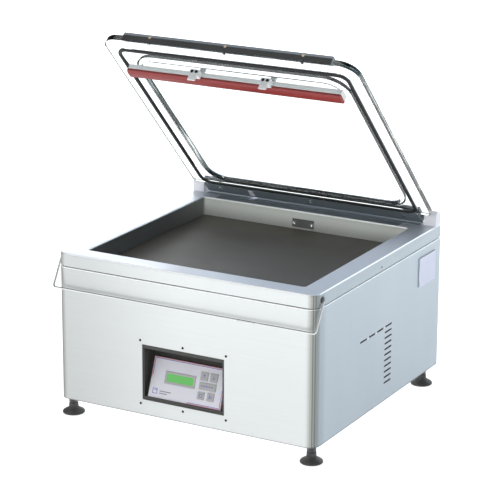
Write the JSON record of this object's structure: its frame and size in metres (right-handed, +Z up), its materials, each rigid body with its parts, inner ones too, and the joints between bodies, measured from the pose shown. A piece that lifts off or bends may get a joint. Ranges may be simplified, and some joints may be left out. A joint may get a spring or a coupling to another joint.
{
  "type": "chamber vacuum sealer",
  "caption": "Tabletop chamber vacuum sealer: steel cabinet with a recessed control panel, filler plates in the chamber, a clear hinged lid held open and a wire bail on levelling feet.",
  "frame": {"origin": "on the floor under the middle of the machine", "axes": "+Z up, -Y is the operator's side with the control panel, +X to the operator's right"},
  "size_m": [0.6112, 0.6012, 0.7875],
  "materials": {
    "front_steel": "fine satin stainless sheet with a soft gloss",
    "stainless": "satin stainless sheet",
    "galvanised": "zinc coated sheet",
    "slate_metal": "dark anodised",
    "aluminium": "satin",
    "polished_wire": "polished",
    "clear_acrylic": "clear, polished",
    "rubber": "matte black",
    "red_silicone": "satin brick red",
    "filler": "dark grey machined plastic",
    "dark_plastic": "fine grained",
    "pale_plastic": "light grey moulded",
    "keypad": "printed satin film on a plate",
    "key_grey": "satin film",
    "display": "green backlit window",
    "circuit_board": "lacquered board",
    "blank_plate": "blank satin plate",
    "seal_tape": "woven low-friction tape over the wire",
    "pump_casting": "painted casting",
    "motor_paint": "blue-grey enamel",
    "foot_black": "black moulded nylon on a steel stud"
  },
  "bodies": {
    "cabinet": {"housing_shell": "front_steel", "base_pan": "galvanised", "rear_panel": "stainless", "seam_seal": "rubber", "side_plate": "blank_plate", "chamber_tub": "stainless", "filler_plate_lower": "filler", "filler_plate_upper": "filler", "vacuum_port_plate": "slate_metal", "control_bezel": "dark_plastic", "keypad_plate": "keypad", "display_window": "display", "control_board": "circuit_board", "power_inlet": "dark_plastic", "hinge_block_left": "pale_plastic", "hinge_block_right": "pale_plastic", "hinge_pin_left": "polished_wire", "hinge_pin_right": "polished_wire", "bail_bush_left": "dark_plastic", "bail_bush_right": "dark_plastic", "rear_buffer_left": "rubber", "rear_buffer_right": "rubber", "lift_cylinder_left": "aluminium", "lift_cylinder_right": "aluminium", "lift_spring_left": "polished_wire", "lift_spring_right": "polished_wire", "vacuum_pump": "pump_casting", "pump_motor": "motor_paint", "exhaust_filter": "pump_casting", "transformer": "motor_paint", "valve_block": "aluminium", "pump_hose": "rubber", "chamber_hose": "rubber"},
    "lid": {"lid_cover": "clear_acrylic", "lid_gasket": "rubber", "hinge_rail": "slate_metal", "front_rail": "slate_metal", "counter_bar": "aluminium", "silicone_strip": "red_silicone", "lid_sensor_tab": "pale_plastic", "bar_post_left": "aluminium", "bar_post_right": "aluminium", "bar_clip_left": "aluminium", "bar_clip_right": "aluminium"},
    "bail": {"bail_wire": "polished_wire"},
    "seal_bar": {"seal_bar_base": "aluminium", "seal_element": "seal_tape", "lift_piston_left": "polished_wire", "lift_piston_right": "polished_wire"},
    "up_key": {"key_up": "key_grey"},
    "down_key": {"key_down": "key_grey"},
    "program_key": {"key_program": "key_grey"},
    "stop_key": {"key_stop": "key_grey"},
    "start_key": {"key_start": "key_grey"},
    "switch_rocker": {"power_switch": "dark_plastic"},
    "cooling_fan": {"motor_fan": "dark_plastic"},
    "front_left_foot": {"foot_front_left": "foot_black"},
    "front_right_foot": {"foot_front_right": "foot_black"},
    "rear_left_foot": {"foot_rear_left": "foot_black"},
    "rear_right_foot": {"foot_rear_right": "foot_black"}
  },
  "joints": [
    {"name": "lid_hinge", "type": "hinge", "parent": "cabinet", "child": "lid", "pos_m": [0, 0.2822, 0.3748], "axis": [1, 0, 0], "range_deg": [0, 45.7], "stiffness_Nm_per_rad": 20, "springref_deg": -68.75},
    {"name": "bail_hinge", "type": "hinge", "parent": "cabinet", "child": "bail", "pos_m": [0, -0.264, 0.341], "axis": [-1, 0, 0], "range_deg": [0, 150]},
    {"name": "seal_bar_lift", "type": "slide", "parent": "cabinet", "child": "seal_bar", "axis": [0, 0, 1], "range_m": [0, 0.0085], "stiffness_N_per_m": 2500, "springref_m": -0.006, "deforming": ["lift_spring_left", "lift_spring_right"]},
    {"name": "key_up_press", "type": "slide", "parent": "cabinet", "child": "up_key", "axis": [0, 0.9336, -0.3584], "range_m": [0, 0.0008], "stiffness_N_per_m": 400, "springref_m": -0.002},
    {"name": "key_down_press", "type": "slide", "parent": "cabinet", "child": "down_key", "axis": [0, 0.9336, -0.3584], "range_m": [0, 0.0008], "stiffness_N_per_m": 400, "springref_m": -0.002},
    {"name": "key_program_press", "type": "slide", "parent": "cabinet", "child": "program_key", "axis": [0, 0.9336, -0.3584], "range_m": [0, 0.0008], "stiffness_N_per_m": 400, "springref_m": -0.002},
    {"name": "key_stop_press", "type": "slide", "parent": "cabinet", "child": "stop_key", "axis": [0, 0.9336, -0.3584], "range_m": [0, 0.0008], "stiffness_N_per_m": 400, "springref_m": -0.002},
    {"name": "key_start_press", "type": "slide", "parent": "cabinet", "child": "start_key", "axis": [0, 0.9336, -0.3584], "range_m": [0, 0.0008], "stiffness_N_per_m": 400, "springref_m": -0.002},
    {"name": "power_switch_rock", "type": "hinge", "parent": "cabinet", "child": "switch_rocker", "pos_m": [-0.225, 0.287, 0.15], "axis": [-1, 0, 0], "range_deg": [0, 18]},
    {"name": "fan_spin", "type": "hinge", "parent": "cabinet", "child": "cooling_fan", "pos_m": [0, 0.09, 0.118], "axis": [1, 0, 0], "continuous": true},
    {"name": "foot_front_left_turn", "type": "hinge", "parent": "cabinet", "child": "front_left_foot", "pos_m": [-0.281, -0.265, 0], "axis": [0, 0, 1], "continuous": true},
    {"name": "foot_front_right_turn", "type": "hinge", "parent": "cabinet", "child": "front_right_foot", "pos_m": [0.281, -0.265, 0], "axis": [0, 0, 1], "continuous": true},
    {"name": "foot_rear_left_turn", "type": "hinge", "parent": "cabinet", "child": "rear_left_foot", "pos_m": [-0.281, 0.254, 0], "axis": [0, 0, 1], "continuous": true},
    {"name": "foot_rear_right_turn", "type": "hinge", "parent": "cabinet", "child": "rear_right_foot", "pos_m": [0.281, 0.254, 0], "axis": [0, 0, 1], "continuous": true}
  ]
}
